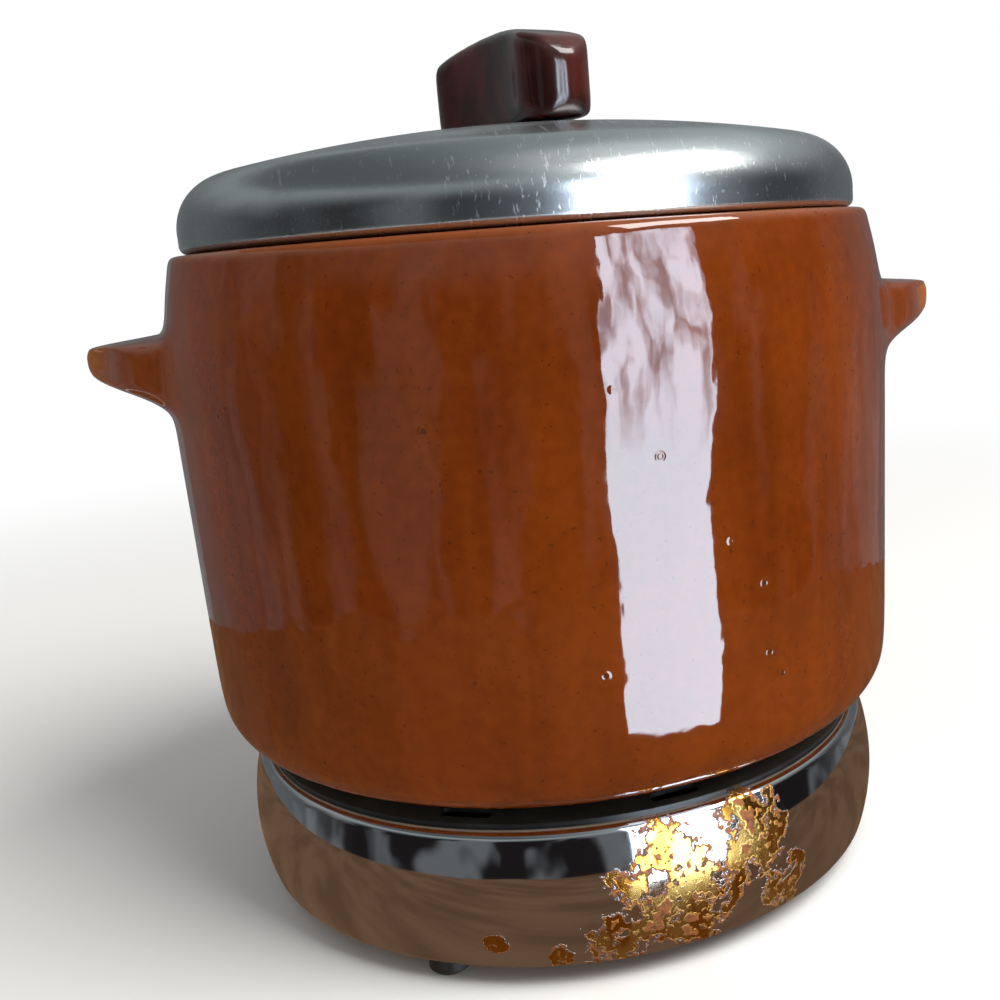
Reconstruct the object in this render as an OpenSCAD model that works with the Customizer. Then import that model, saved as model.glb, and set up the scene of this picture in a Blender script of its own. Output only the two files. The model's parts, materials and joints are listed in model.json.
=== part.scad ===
// Electric bean pot: a stoneware pot with two lugs, a spun lid with a bar knob,
// and a low heated base on three feet. Millimetres, +Z up.
// The origin is on the floor under the middle of the base. The lugs lie along X and the inlet faces +Y.

/* [Pot] */
// Largest outside diameter of the pot
pot_d = 180; // [160:1:220]
// Height from the pot's underside to the ledge that the lid stands on
pot_h = 121; // [100:1:160]
// Thickness of the side wall
pot_wall = 6.6; // [5:0.2:9]
// Thickness of the pot's floor
pot_floor = 8; // [5:0.5:12]
// How much smaller the side's radius is at the bottom than at its widest
pot_taper = 1.4; // [0.5:0.1:4]
// Radius of the rounded lower corner
pot_corner = 13.2; // [9:0.2:18]
// Radius of the slow curve that draws the shoulder in
shoulder_curve = 124; // [100:1:200]
// Height over which the shoulder draws in
shoulder_h = 30.4; // [22:0.2:36]
// Height of the raised neck inside the lid's edge
neck_h = 5.6; // [4:0.2:8]
// Thickness of the neck
neck_wall = 5; // [5:0.1:8]
// Depth of the recess in the middle of the underside
underside_recess = 1.2; // [0.6:0.1:2]
// Radius of that recess
underside_recess_r = 52; // [30:1:58]

/* [Lugs] */
// How far a lug's tip stands out from the pot's widest radius
lug_reach = 20; // [14:0.5:26]
// Radius of the round plate that a lug is shaped from
lug_plate_r = 31; // [26:0.5:36]
// Height of a lug's tip over the pot's underside
lug_tip_h = 97.4; // [70:0.2:102]
// Radius of the rounded rim of a lug
lug_rim_r = 4; // [3:0.2:5]
// Rise of the lug's top from its rim to its root
lug_rise = 3.6; // [2:0.2:6]
// Fall of the lug's underside from its rim to its root
lug_fall = 11; // [6:0.5:14]

/* [Lid] */
// How far the lid's edge stands in from the edge of the ledge that it rests on
lid_step = 2.8; // [1:0.1:4]
// Thickness of the lid's sheet
lid_t = 0.9; // [0.7:0.1:1.4]
// Radius of the rolled edge
bead_r = 2; // [1.8:0.1:3]
// Height of the lid's side above the middle of the rolled edge
lid_side_h = 2.7; // [2.4:0.1:8]
// Radius of the turn from the lid's side to its dome
lid_turn_r = 12.9; // [9:0.1:16]
// Radius of the dome's curve
dome_curve = 350; // [250:2:500]
// Radius of the flat in the middle that the knob stands on
knob_seat_r = 14; // [10:0.5:20]
// Turn of the lid, with its knob, from the line through the lugs
lid_turn = -68; // [-180:1:180]

/* [Knob] */
// Length of the knob
knob_l = 60.4; // [50:0.2:80]
// Width of the knob across its two ends
knob_w = 18; // [15:0.2:22]
// Width of the knob at its waist
knob_waist = 11.4; // [11:0.2:14]
// Height of the knob in the middle
knob_h = 23; // [17:0.5:28]
// How much lower the knob's top is at its ends
knob_drop = 6; // [2:0.2:8]
// Height of the slanted foot round the knob
knob_foot_h = 3.4; // [2:0.2:5]
// How far the foot of the knob is drawn in
knob_foot_in = 2.4; // [0.5:0.1:3]
// Radius of the rounded top edge
knob_edge_r = 6; // [3:0.1:7]
// Outside radius of the threaded insert
insert_r = 3.2; // [2.8:0.1:3.6]
// Length of the threaded insert
insert_l = 9; // [6:0.5:12]
// Radius of the knob's screw
knob_screw_r = 2; // [1.5:0.1:2.2]

/* [Base] */
// Largest outside diameter of the chromed shell
base_d = 168.1; // [156:0.5:200]
// Height of the shell
shell_h = 32.1; // [28:0.5:45]
// Thickness of the shell's sheet
shell_t = 0.9; // [0.7:0.1:1.4]
// Height of the shell's widest ring above its lower edge
belly_h = 15; // [12:0.5:18]
// Radius of the curve of the shell's side
belly_curve = 48; // [40:1:80]
// Radius of the turn at the shell's lower edge
hem_r = 1.6; // [1.2:0.1:3]
// Radius of the turn at the shell's top
shell_top_r = 3; // [2:0.1:5]
// Width of the flange turned in at the bottom
hem_w = 9.5; // [9:0.5:14]
// Width of the lip turned in at the top
lip_w = 1.6; // [1.2:0.1:2.4]
// Thickness of the bottom cover
cover_t = 0.9; // [0.7:0.1:1.4]
// Height of the dish pressed in the middle of the cover
dish_h = 3.4; // [3:0.1:5]
// Number of vent holes in the cover
vents = 12; // [6:1:18]
// Radius of a vent hole
vent_r = 3; // [2:0.1:4]
// Distance of the vent holes from the axis
vent_ring_r = 44; // [36:1:48]

/* [Deck and hot plate] */
// Height of the hot plate above the shell's lip
pot_gap = 4.3; // [3:0.1:8]
// Diameter of the hot plate
plate_d = 136; // [130:1:144]
// Depth of the hot plate's rim
plate_h = 6; // [5.4:0.1:7]
// Thickness of the hot plate
plate_t = 1.2; // [1:0.1:2]
// Radius of the turn at the hot plate's edge
plate_edge_r = 2; // [1.6:0.1:3]
// Thickness of the black deck ring
deck_t = 0.9; // [0.7:0.1:1.2]
// Width of the deck ring's inner flange, under the hot plate's rim
deck_flange_w = 9; // [5:0.5:10]
// Rise of the deck from its outer edge to its ridge
deck_rise = 0.7; // [0.3:0.1:1.2]
// Number of slots in the deck
slots = 10; // [6:1:12]
// Length of a slot round the deck
slot_l = 12; // [8:0.5:16]
// Width of a slot
slot_w = 3.4; // [2.4:0.1:3.6]
// Turn of the first slot from the line through the lugs
slot_turn = -6; // [-18:1:18]

/* [Heating element] */
// Radius of the mica discs
mica_r = 60; // [59:0.5:62]
// Thickness of a mica disc
mica_t = 0.8; // [0.5:0.1:1.2]
// Number of turns of the ribbon, an even number
ribbon_turns = 6; // [4:2:6]
// Width of the ribbon
ribbon_w = 4; // [3:0.2:4.4]
// Thickness of the ribbon
ribbon_t = 0.4; // [0.3:0.1:0.6]
// Radius of the ribbon's innermost turn
ribbon_in_r = 17; // [15:0.5:18]
// Radius of the ribbon's outermost turn
ribbon_out_r = 53; // [50:0.5:54]
// Half of the angle that is left open between the ribbon's ends
ribbon_gap = 20; // [18:1:26]
// Thickness of the pressure plate
press_t = 2; // [1.5:0.1:3]
// Radius of the pressure plate
press_r = 57; // [56.5:0.5:58]
// Radius of the stud that holds the stack together
stud_r = 2.5; // [2:0.1:3]
// Height of the spacer above the heat shield
upper_spacer_h = 5; // [4:0.5:5.5]
// Radius of the heat shield
shield_r = 44; // [36:1:45]
// Thickness of the heat shield
shield_t = 0.8; // [0.5:0.1:1.2]

/* [Terminals and wires] */
// Radius of a terminal post
post_r = 1.6; // [1.4:0.1:2]
// Height of the porcelain flange under the pressure plate
bushing_flange_h = 2; // [1.5:0.1:2.4]
// Thickness of a wire's ring end
ring_t = 0.8; // [0.6:0.1:1]
// Radius of an insulated wire
wire_r = 1.1; // [0.8:0.1:1.3]

/* [Inlet] */
// Radius of an inlet pin
pin_r = 2.38; // [2:0.01:2.5]
// Distance between the two pins
pin_spacing = 12.7; // [12:0.1:14]
// Free length of a pin
pin_l = 19; // [16:0.5:19.5]
// Height of the inlet's middle over the shell's lower edge
inlet_h = 14; // [12.5:0.5:15]
// Inside width of the guard round the pins
guard_w = 27; // [26:0.5:29]
// Inside height of the guard
guard_h = 15; // [13:0.5:16]
// Thickness of the guard's sheet
guard_t = 1; // [0.8:0.1:1.2]
// Length of the guard
guard_l = 20; // [18:0.5:20.5]
// Distance of the inlet block's front face from the axis
block_y = 67; // [66:0.5:67]
// Thickness of the inlet block, front to back
block_t = 11; // [9:0.5:12]
// Width of the inlet block
block_w = 42; // [41.5:0.5:43]

/* [Feet] */
// Height of a foot
foot_h = 4.1; // [3.8:0.1:8]
// Radius of a foot
foot_r = 5; // [4.4:0.1:5]
// Distance of a foot's middle from the axis
foot_ring_r = 74.5; // [74:0.1:74.6]
// Number of feet
feet_n = 3; // [3:1:6]

/* [Fits] */
// Gap between a screw or stud and a plain hole
hole_fit = 0.2; // [0.1:0.05:0.3]
// Gap between a thread and its nut or insert
thread_fit = 0.05; // [0.03:0.01:0.1]
// Gap between the pot's neck and the lid's rolled edge
lid_play = 0.6; // [0.4:0.1:1]
// Gap under the lid's rolled edge
lid_rest = 0.25; // [0.2:0.05:0.4]
// Gap round the guard where it passes through the shell
guard_play = 0.5; // [0.3:0.1:0.8]

/* [Hidden] */

$fn = 96;
// Steps along a short arc and along a long one
short_arc = 6;
long_arc = 12;
// How far a cut reaches past the solid that it cuts
past = 1;

// Heights over the floor, from the feet up
cover_z = foot_h;
shell_z = cover_z + cover_t;
shell_top = shell_z + shell_h;
plate_top = shell_top + pot_gap;
pot_z = plate_top;
ledge_z = pot_z + pot_h;
bead_z = ledge_z + lid_rest + bead_r;
lid_turn_z = bead_z + lid_side_h;

// Radii of the pot, its ledge and its neck
pot_r = pot_d / 2;
ledge_r = pot_r - shoulder_curve + sqrt(pow(shoulder_curve, 2) - pow(shoulder_h, 2));
ledge_edge = 1.4;
lid_r = ledge_r - lid_step;
bead_ring_r = lid_r - bead_r;
neck_r = bead_ring_r - bead_r - lid_play;
mouth_r = neck_r - neck_wall;
pot_in_r = pot_r - pot_wall;
neck_edge = 2.4;

// The dome's height in the middle, from where it leaves the turn
dome_join = asin((lid_r - lid_turn_r) / (dome_curve - lid_turn_r));
dome_c = lid_turn_z - (dome_curve - lid_turn_r) * cos(dome_join);
knob_z = dome_c + sqrt(pow(dome_curve, 2) - pow(knob_seat_r, 2));
knob_hole_r = knob_screw_r + hole_fit;
knob_washer_r = 6;
knob_washer_t = 1;
knob_head_h = 2.2;
knob_head_r = 4;
lobe_r = knob_w / 2;
lobe_x = knob_l / 2 - lobe_r;

// Radii of the shell, the lip and the flange
base_r = base_d / 2;
belly_z = shell_z + belly_h;
belly_c = base_r - belly_curve;
lip_r = belly_c + inner_run(belly_curve - shell_top_r, shell_top - shell_top_r - belly_z);
lip_in_r = lip_r - lip_w;
hem_c = belly_c + inner_run(belly_curve - hem_r, shell_z + hem_r - belly_z);
hem_in_r = hem_c - hem_w;
cover_edge = 1;
cover_r = hem_c - cover_edge;
dish_r = 20;
dish_slope = 4;
dish_z = cover_z + dish_h;

// Deck ring and hot plate
plate_r = plate_d / 2;
plate_z = plate_top - plate_h;
deck_flange_z = plate_z - deck_t;
deck_in_r = plate_r - deck_flange_w;
deck_well_r = plate_r + 1.2;
deck_ridge_r = deck_well_r + 2.4;
deck_lip_gap = 0.3;
deck_r = lip_r - deck_lip_gap;
slot_ring_r = (deck_ridge_r + lip_in_r) / 2 + 0.2;

// The stack under the hot plate, from the top down
upper_mica_z = plate_top - plate_t - mica_t;
ribbon_z = upper_mica_z - ribbon_t;
former_z = ribbon_z - mica_t;
lower_mica_z = former_z - mica_t;
press_z = lower_mica_z - press_t;
washer_t = 1;
clamp_nut_h = 4;
clamp_washer_z = press_z - washer_t;
clamp_nut_z = clamp_washer_z - clamp_nut_h;
upper_spacer_z = clamp_nut_z - upper_spacer_h;
shield_z = upper_spacer_z - shield_t;
lower_spacer_z = dish_z + cover_t;
tie_washer_z = dish_z - washer_t;
tie_nut_h = 3.4;
tie_nut_z = tie_washer_z - tie_nut_h;
stud_end = 0.6;
stud_hole_r = stud_r + hole_fit;
stud_washer_r = 7;
spacer_r = stud_r + 2.2;
shield_rim_h = 3;

// Ribbon ends, and the posts under them
ribbon_pitch = (ribbon_out_r - ribbon_in_r) / (ribbon_turns - 1);
ribbon_start = 90 + ribbon_gap;
pad_r = ribbon_w / 2 + 1;
post_ends = [on_ring(ribbon_in_r, ribbon_start), on_ring(ribbon_out_r, ribbon_start)];
post_hole_r = post_r + hole_fit;
bushing_r = post_hole_r + 1.6;
bushing_flange_r = bushing_r + 1;
bushing_z = press_z - bushing_flange_h;
ring_z = bushing_z - ring_t;
terminal_nut_h = 2.4;
terminal_nut_z = ring_z - terminal_nut_h;
terminal_nut_r = 3.2;
post_end = 1;
ring_r = post_r + 2;
tongue_l = 6.4;

// Inlet, from its front to its back
inlet_z = shell_z + inlet_h;
pin_xs = [-pin_spacing / 2, pin_spacing / 2];
block_back_y = block_y - block_t;
block_h = inlet_z + guard_h / 2 + guard_t - shell_z;
pin_ring_y = block_back_y - ring_t;
inlet_nut_t = 2.8;
inlet_nut_y = pin_ring_y - inlet_nut_t;
inlet_nut_r = 4.4;
pin_end = 1.4;
pin_y = inlet_nut_y - pin_end;
collar_r = pin_r + 1.4;
collar_t = 2;
guard_y = block_y + guard_t;
guard_corner = 2.5;
inlet_screw_r = 1.5;
inlet_screw_x = guard_w / 2 + guard_t + 3.6;
inlet_screw_l = 8;
inlet_head_r = 2.6;
inlet_head_t = 1.6;
block_screw_r = 1.6;
block_screw_x = 13;
block_screw_l = 5;
block_head_r = 3;
block_head_t = 1.6;
tip_bevel = 0.8;

// Feet and their screws
foot_recess_r = 3.2;
foot_recess_h = 2.1;
foot_bevel = 0.8;
foot_screw_r = 1.6;
foot_head_r = 2.7;
foot_head_t = 1.3;
foot_nut_t = 2.4;
foot_nut_r = 3.4;

// Points along an arc round c, from angle a to angle b
function arc(c, r, a, b, n) = [for (i = [0:n]) c + r * unit_at(a + (b - a) * i / n)];
function unit_at(a) = [cos(a), sin(a)];
function unit(v) = v / norm(v);
function on_ring(r, a) = r * unit_at(a);
// Distance along the radius at which an arc of radius r reaches height h above its centre
function inner_run(r, h) = sqrt(pow(r, 2) - pow(h, 2));

// Outline of a bent sheet: along one face and back along the other, which lies t to the left of it
function sheet(path, t) = concat(path, [for (i = [len(path) - 1:-1:0]) path[i] + t * mitre(path, i)]);
function left_of(path, i) = let (d = unit(path[i + 1] - path[i])) [-d.y, d.x];
function mitre(path, i) =
    let (before = left_of(path, max(i - 1, 0)),
         after = left_of(path, min(i, len(path) - 2)),
         middle = unit(before + after))
    middle / (middle * before);

// Outlines of a rectangle with round corners, and of a slot with round ends
function round_box(w, h, r) = concat(
    arc([w / 2 - r, h / 2 - r], r, 0, 90, short_arc),
    arc([r - w / 2, h / 2 - r], r, 90, 180, short_arc),
    arc([r - w / 2, r - h / 2], r, 180, 270, short_arc),
    arc([w / 2 - r, r - h / 2], r, 270, 360, short_arc));
function round_slot(l, w) = concat(
    arc([0, (l - w) / 2], w / 2, 0, 180, short_arc),
    arc([0, (w - l) / 2], w / 2, 180, 360, short_arc));

module at_height(z) {
    translate([0, 0, z]) children();
}

module ring(r, hole, h, z) {
    at_height(z) difference() {
        cylinder(r = r, h = h);
        at_height(-past) cylinder(r = hole, h = h + 2 * past);
    }
}

module hex_nut(r, hole, h) {
    difference() {
        cylinder(r = r, h = h, $fn = 6);
        at_height(-past) cylinder(r = hole, h = h + 2 * past);
    }
}

// A screw with its head at the bottom and its shank upwards
module screw(r, l, head_r, head_h) {
    at_height(-head_h) rotate_extrude()
        polygon([[0, 0], [head_r - head_h / 2, 0], [head_r, head_h / 2], [head_r, head_h],
                 [r, head_h], [r, head_h + l], [0, head_h + l]]);
}

module along_y(y, z) {
    translate([0, y, z]) rotate([-90, 0, 0]) children();
}

// Pot

pot_corner_r = pot_r - pot_taper - pot_corner;
pot_corner_z = pot_z + pot_corner;
side_turn = atan(pot_taper / (pot_h - shoulder_h - pot_corner));

module pot_outline() {
    polygon(concat(
        [[0, pot_z]],
        arc([pot_corner_r, pot_corner_z], pot_corner, -90, -side_turn, long_arc),
        arc([pot_r - shoulder_curve, ledge_z - shoulder_h], shoulder_curve, 0,
            asin((shoulder_h - ledge_edge) / shoulder_curve), short_arc),
        arc([ledge_r - ledge_edge, ledge_z - ledge_edge], ledge_edge, 15, 90, short_arc),
        [[neck_r, ledge_z]],
        arc([neck_r - neck_edge, ledge_z + neck_h - neck_edge], neck_edge, 0, 90, short_arc),
        [[0, ledge_z + neck_h]]));
}

inner_corner = 12;
inner_shoulder = 14;

// The inner shoulder is an arc that ends upright at the mouth
inner_turn = acos(1 - (pot_in_r - mouth_r) / (2 * inner_shoulder));
inner_shoulder_z = ledge_z - 2 * inner_shoulder * sin(inner_turn);

module pot_hollow() {
    floor_z = pot_z + pot_floor;
    polygon(concat(
        [[0, floor_z]],
        arc([pot_in_r - inner_corner, floor_z + inner_corner], inner_corner, -90, 0, long_arc),
        arc([pot_in_r - inner_shoulder, inner_shoulder_z], inner_shoulder, 0, inner_turn, short_arc),
        arc([mouth_r + inner_shoulder, ledge_z], inner_shoulder, 180 + inner_turn, 180, short_arc),
        arc([mouth_r + neck_edge, ledge_z + neck_h - neck_edge], neck_edge, 180, 90, short_arc),
        [[mouth_r + neck_edge, ledge_z + neck_h + past], [0, ledge_z + neck_h + past]]));
}

module lug() {
    rim = lug_plate_r - lug_rim_r;
    tip_z = pot_z + lug_tip_h;
    translate([pot_r + lug_reach - lug_plate_r, 0, 0]) rotate_extrude()
        polygon(concat(
            [[0, tip_z - lug_rim_r - lug_fall], [rim / 2, tip_z - lug_rim_r - lug_fall / 2]],
            arc([rim, tip_z], lug_rim_r, -60, 80, long_arc),
            [[rim / 2, tip_z + lug_rim_r + lug_rise * 0.7], [0, tip_z + lug_rim_r + lug_rise]]));
}

module crock() {
    color("saddlebrown") difference() {
        union() {
            rotate_extrude() pot_outline();
            lug();
            mirror([1, 0, 0]) lug();
        }
        rotate_extrude() pot_hollow();
        at_height(pot_z - past) cylinder(r = underside_recess_r, h = past + underside_recess);
    }
}

// Lid and knob

module lid_shell() {
    side = concat(
        arc([bead_ring_r, bead_z], bead_r, 110, 368, 2 * long_arc),
        arc([lid_r - lid_turn_r, lid_turn_z], lid_turn_r, -3, 90 - dome_join, long_arc));
    dome = [for (i = [1:long_arc])
        let (a = dome_join + (asin(knob_seat_r / dome_curve) - dome_join) * i / long_arc)
        [dome_curve * sin(a), dome_c + dome_curve * cos(a)]];
    color("silver") rotate([0, 0, lid_turn]) rotate_extrude()
        polygon(sheet(concat(side, dome, [[knob_hole_r, knob_z]]), lid_t));
}

// Half the knob's width at x, between the middles of its two ends
function knob_half(x) = knob_waist / 2 + (lobe_r - knob_waist / 2) * pow(x / lobe_x, 2);
// Height of the knob's top at x
function knob_top(x) = knob_h - knob_drop * pow(2 * x / knob_l, 2);
// A quarter of the knob's outline, from the tip on +X towards +Y, and the whole of it
knob_quarter = concat(
    arc([lobe_x, 0], lobe_r, 0, 75, short_arc),
    [for (i = [0:short_arc - 1]) let (x = lobe_x * (1 - i / short_arc)) [x, knob_half(x)]]);
knob_upper = concat(
    knob_quarter,
    [[0, knob_half(0)]],
    [for (i = [len(knob_quarter) - 1:-1:0]) [-knob_quarter[i].x, knob_quarter[i].y]]);
knob_outline = concat(knob_upper, [for (i = [len(knob_upper) - 2:-1:1]) [knob_upper[i].x, -knob_upper[i].y]]);

// The knob is what its three views have in common: its waisted plan, its arched side and its round-edged end
module knob_side() {
    half = knob_l / 2;
    end_top = knob_top(half) - knob_edge_r / 2;
    polygon(concat(
        [[knob_foot_in - half, 0], [half - knob_foot_in, 0], [half, knob_foot_h], [half, end_top]],
        [for (i = [0:long_arc]) let (x = (half - knob_edge_r / 2) * (1 - 2 * i / long_arc)) [x, knob_top(x)]],
        [[-half, end_top], [-half, knob_foot_h]]));
}

module knob_end() {
    half = knob_w / 2;
    polygon(concat(
        [[knob_foot_in - half, 0], [half - knob_foot_in, 0], [half, knob_foot_h]],
        arc([half - knob_edge_r, knob_h - knob_edge_r], knob_edge_r, 0, 90, short_arc),
        arc([knob_edge_r - half, knob_h - knob_edge_r], knob_edge_r, 90, 180, short_arc),
        [[-half, knob_foot_h]]));
}

module lid_knob() {
    color([0.24, 0.06, 0.04]) rotate([0, 0, lid_turn]) at_height(knob_z) difference() {
        intersection() {
            linear_extrude(knob_h) polygon(knob_outline);
            rotate([90, 0, 0]) linear_extrude(knob_w, center = true) knob_side();
            rotate([90, 0, 90]) linear_extrude(knob_l, center = true) knob_end();
        }
        at_height(-past) cylinder(r = insert_r + thread_fit, h = insert_l + past);
    }
}

module knob_insert() {
    color("goldenrod") ring(insert_r, knob_screw_r + thread_fit, insert_l, knob_z);
}

module knob_washer() {
    color("silver") ring(knob_washer_r, knob_hole_r, knob_washer_t, knob_z - lid_t - knob_washer_t);
}

module knob_screw() {
    grip = lid_t + knob_washer_t;
    color("silver") at_height(knob_z - grip)
        screw(knob_screw_r, grip + insert_l - 1, knob_head_r, knob_head_h);
}

// Base shell, deck and hot plate

module foot_places() {
    for (i = [0:feet_n - 1]) rotate([0, 0, i * 360 / feet_n]) translate([foot_ring_r, 0, 0]) children();
}

module base_shell() {
    hem_turn = asin((shell_z + hem_r - belly_z) / (belly_curve - hem_r));
    top_turn = asin((shell_top - shell_top_r - belly_z) / (belly_curve - shell_top_r));
    side = concat(
        [[hem_in_r, shell_z]],
        arc([hem_c, shell_z + hem_r], hem_r, -90, hem_turn, short_arc),
        arc([belly_c, belly_z], belly_curve, hem_turn + 3, top_turn - 3, long_arc),
        arc([lip_r, shell_top - shell_top_r], shell_top_r, top_turn, 90, short_arc),
        [[lip_in_r, shell_top]]);
    opening = round_box(guard_w + 2 * (guard_t + guard_play), guard_h + 2 * (guard_t + guard_play), guard_corner);
    color("gainsboro") difference() {
        rotate_extrude() polygon(sheet(side, shell_t));
        along_y(block_y, inlet_z) linear_extrude(base_r - block_y + past) polygon(opening);
        foot_places() at_height(shell_z - past) cylinder(r = foot_screw_r + hole_fit, h = shell_t + 2 * past);
    }
}

module deck_ring() {
    path = [[deck_in_r, deck_flange_z], [deck_well_r, deck_flange_z],
            [deck_ridge_r, shell_top + deck_rise], [deck_r, shell_top]];
    color([0.1, 0.1, 0.1]) difference() {
        rotate_extrude() polygon(sheet(path, deck_t));
        for (i = [0:slots - 1]) rotate([0, 0, slot_turn + i * 360 / slots])
            translate([slot_ring_r, 0, shell_top - past])
                linear_extrude(deck_rise + deck_t + 2 * past) polygon(round_slot(slot_l, slot_w));
    }
}

module hot_plate() {
    path = concat(
        [[plate_r, plate_z]],
        arc([plate_r - plate_edge_r, plate_top - plate_edge_r], plate_edge_r, 0, 90, short_arc),
        [[0, plate_top]]);
    color([0.2, 0.2, 0.21]) rotate_extrude() polygon(sheet(path, plate_t));
}

// Heating element and the stack that presses it to the plate

module upper_mica() {
    color([0.76, 0.72, 0.6]) ring(mica_r, stud_hole_r, mica_t, upper_mica_z);
}

module post_places() {
    for (p = post_ends) translate([p.x, p.y, 0]) children();
}

module element_ribbon() {
    color([0.45, 0.42, 0.4]) at_height(ribbon_z) {
        for (i = [0:ribbon_turns - 1]) rotate([0, 0, ribbon_start])
            rotate_extrude(angle = 360 - 2 * ribbon_gap)
                translate([ribbon_in_r + i * ribbon_pitch - ribbon_w / 2, 0]) square([ribbon_w, ribbon_t]);
        // Turns are joined on the right after an even turn and on the left after an odd one
        for (i = [0:ribbon_turns - 2]) {
            right = i % 2 == 0;
            rotate([0, 0, right ? 90 - ribbon_gap : ribbon_start])
                translate([ribbon_in_r + i * ribbon_pitch - ribbon_w / 2, right ? -0.2 : 0.2 - ribbon_w, 0])
                    cube([ribbon_pitch + ribbon_w, ribbon_w, ribbon_t]);
        }
        post_places() cylinder(r = pad_r, h = ribbon_t);
    }
}

module mica_with_posts(z) {
    difference() {
        ring(mica_r, stud_hole_r, mica_t, z);
        post_places() at_height(z - past) cylinder(r = post_hole_r, h = mica_t + 2 * past);
    }
}

module element_former() {
    color([0.7, 0.66, 0.52]) mica_with_posts(former_z);
}

module lower_mica() {
    color([0.76, 0.72, 0.6]) mica_with_posts(lower_mica_z);
}

module pressure_plate() {
    color("dimgray") difference() {
        ring(press_r, stud_hole_r, press_t, press_z);
        post_places() at_height(press_z - past) cylinder(r = bushing_r + hole_fit, h = press_t + 2 * past);
    }
}

module tie_stud() {
    color("silver") at_height(tie_nut_z - stud_end)
        cylinder(r = stud_r, h = plate_top - plate_t - tie_nut_z + stud_end);
}

module clamp_washer() {
    color("silver") ring(stud_washer_r, stud_hole_r, washer_t, clamp_washer_z);
}

module clamp_nut() {
    color("silver") at_height(clamp_nut_z) hex_nut(2 * stud_r, stud_r + thread_fit, clamp_nut_h);
}

module upper_spacer() {
    color("silver") ring(spacer_r, stud_hole_r, upper_spacer_h, upper_spacer_z);
}

module heat_shield() {
    path = [[shield_r, shield_z - shield_rim_h], [shield_r, shield_z + shield_t], [stud_hole_r, shield_z + shield_t]];
    color("lightgray") rotate_extrude() polygon(sheet(path, shield_t));
}

module lower_spacer() {
    color("silver") ring(spacer_r, stud_hole_r, shield_z - lower_spacer_z, lower_spacer_z);
}

module bottom_cover() {
    path = [[stud_hole_r, dish_z], [dish_r, dish_z], [dish_r + dish_slope, cover_z], [cover_r, cover_z]];
    color("darkgray") difference() {
        rotate_extrude() polygon(sheet(path, cover_t));
        for (i = [0:vents - 1]) rotate([0, 0, (i + 0.5) * 360 / vents])
            translate([vent_ring_r, 0, cover_z - past]) cylinder(r = vent_r, h = cover_t + 2 * past);
        foot_places() at_height(cover_z - past) cylinder(r = foot_screw_r + hole_fit, h = cover_t + 2 * past);
        block_screw_places() at_height(cover_z - past)
            cylinder(r = block_screw_r + hole_fit, h = cover_t + 2 * past);
    }
}

module tie_washer() {
    color("silver") ring(stud_washer_r, stud_hole_r, washer_t, tie_washer_z);
}

module tie_nut() {
    color("silver") at_height(tie_nut_z) hex_nut(2 * stud_r, stud_r + thread_fit, tie_nut_h);
}

// Terminals and wires

module terminal_posts() {
    color("goldenrod") post_places() at_height(terminal_nut_z - post_end)
        cylinder(r = post_r, h = ribbon_z - terminal_nut_z + post_end);
}

module terminal_bushings() {
    color("ivory") post_places() difference() {
        union() {
            at_height(bushing_z) cylinder(r = bushing_flange_r, h = bushing_flange_h);
            at_height(bushing_z) cylinder(r = bushing_r, h = lower_mica_z - bushing_z);
        }
        at_height(bushing_z - past) cylinder(r = post_hole_r, h = lower_mica_z - bushing_z + 2 * past);
    }
}

module terminal_nuts() {
    color("goldenrod") post_places() at_height(terminal_nut_z)
        hex_nut(terminal_nut_r, post_r + thread_fit, terminal_nut_h);
}

// A flat ring end with its tongue along +Y
module ring_end(r, hole) {
    difference() {
        union() {
            cylinder(r = r, h = ring_t);
            translate([-wire_r, 0, 0]) cube([2 * wire_r, tongue_l, ring_t]);
        }
        at_height(-past) cylinder(r = hole, h = ring_t + 2 * past);
    }
}

wire_sides = 8;
wire_rings = 14;
function bezier(p, t) = pow(1 - t, 3) * p[0] + 3 * pow(1 - t, 2) * t * p[1]
    + 3 * (1 - t) * pow(t, 2) * p[2] + pow(t, 3) * p[3];
function bezier_dir(p, t) = unit(pow(1 - t, 2) * (p[1] - p[0]) + 2 * (1 - t) * t * (p[2] - p[1])
    + pow(t, 2) * (p[3] - p[2]));

// One smooth tube along the curve of four control points
module wire(p) {
    points = [for (i = [0:wire_rings]) let (
            t = i / wire_rings,
            d = bezier_dir(p, t),
            across = unit(cross([1, 0, 0], d)),
            along = cross(d, across))
        for (k = [0:wire_sides - 1]) let (a = 360 * k / wire_sides)
            bezier(p, t) + wire_r * (cos(a) * along + sin(a) * across)];
    sides = [for (i = [0:wire_rings - 1]) for (k = [0:wire_sides - 1]) let (
            a = i * wire_sides + k,
            b = i * wire_sides + (k + 1) % wire_sides)
        each [[a, b + wire_sides, a + wire_sides], [a, b, b + wire_sides]]];
    polyhedron(points = points, faces = concat(sides,
        [[for (k = [wire_sides - 1:-1:0]) k]],
        [[for (k = [0:wire_sides - 1]) wire_rings * wire_sides + k]]));
}

module lead_wires() {
    color("gray") for (i = [0, 1]) {
        p = post_ends[1 - i];
        x = pin_xs[i];
        start = [p.x, p.y + tongue_l - 1, ring_z - wire_r + ring_t / 2];
        finish = [x, pin_ring_y - wire_r + ring_t / 2, inlet_z + tongue_l - 1];
        run = (finish.y - start.y) / 2;
        translate([p.x, p.y, ring_z]) ring_end(ring_r, post_hole_r);
        translate([x, pin_ring_y, inlet_z]) rotate([90, 0, 0]) mirror([0, 0, 1])
            ring_end(pin_r + 1.6, pin_r + hole_fit);
        wire([start, start + [0, max(run, 4), 0], finish + [0, 0, 7], finish]);
    }
}

// Inlet

module block_screw_places() {
    for (x = [-block_screw_x, block_screw_x]) translate([x, block_y - block_t / 2, 0]) children();
}

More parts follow.
